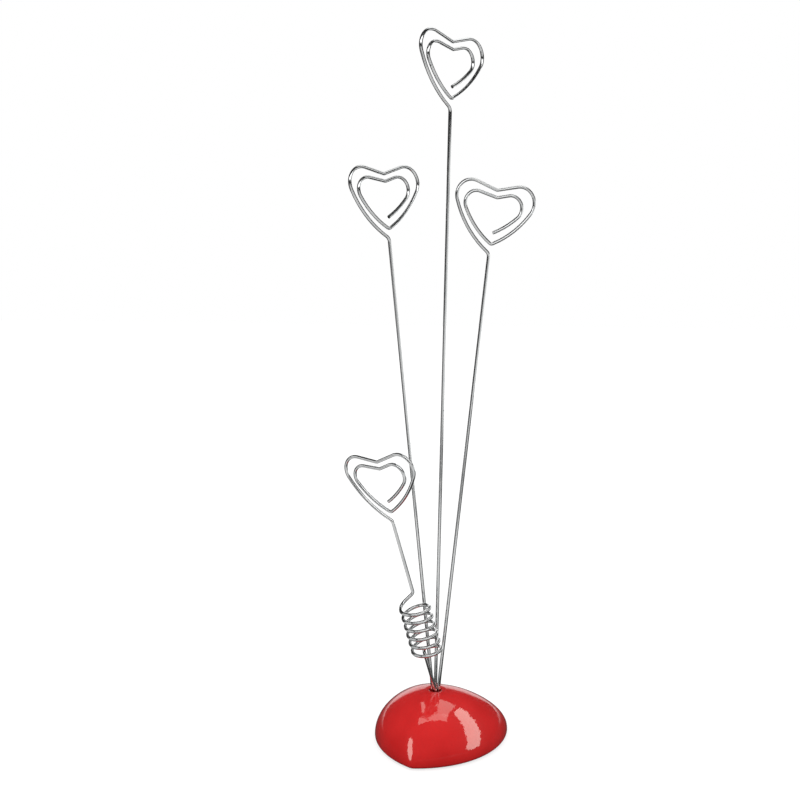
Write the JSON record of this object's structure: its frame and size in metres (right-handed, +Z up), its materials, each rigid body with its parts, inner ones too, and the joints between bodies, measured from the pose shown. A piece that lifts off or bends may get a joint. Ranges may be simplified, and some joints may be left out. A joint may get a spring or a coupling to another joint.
{
  "type": "memo clip holder",
  "caption": "Desk memo and photo holder: upright spring-wire clips with double heart loops, one on an open coil, rising from a domed heart-shaped base.",
  "frame": {"origin": "on the table, at the underside of the pad, straight below the bore that holds the wires", "axes": "+Z up along the bore, -Y towards the tip of the heart base, +X to the right of that tip seen from in front of it"},
  "size_m": [0.0786, 0.0674, 0.3282],
  "materials": {
    "base_gloss": "glossy red paint film with a faint orange-peel surface, over cast resin",
    "clip_wire": "bright nickel plating on drawn spring-steel wire",
    "pad_foam": "matt closed-cell foam with fine pores",
    "adhesive": "set clear resin glue, slightly amber"
  },
  "bodies": {
    "root": {"heart_base": "base_gloss", "base_pad": "pad_foam", "bore_adhesive": "adhesive", "tall_clip_wire": "clip_wire", "left_clip_wire": "clip_wire", "right_clip_wire": "clip_wire", "coiled_clip_wire": "clip_wire"}
  },
  "joints": []
}
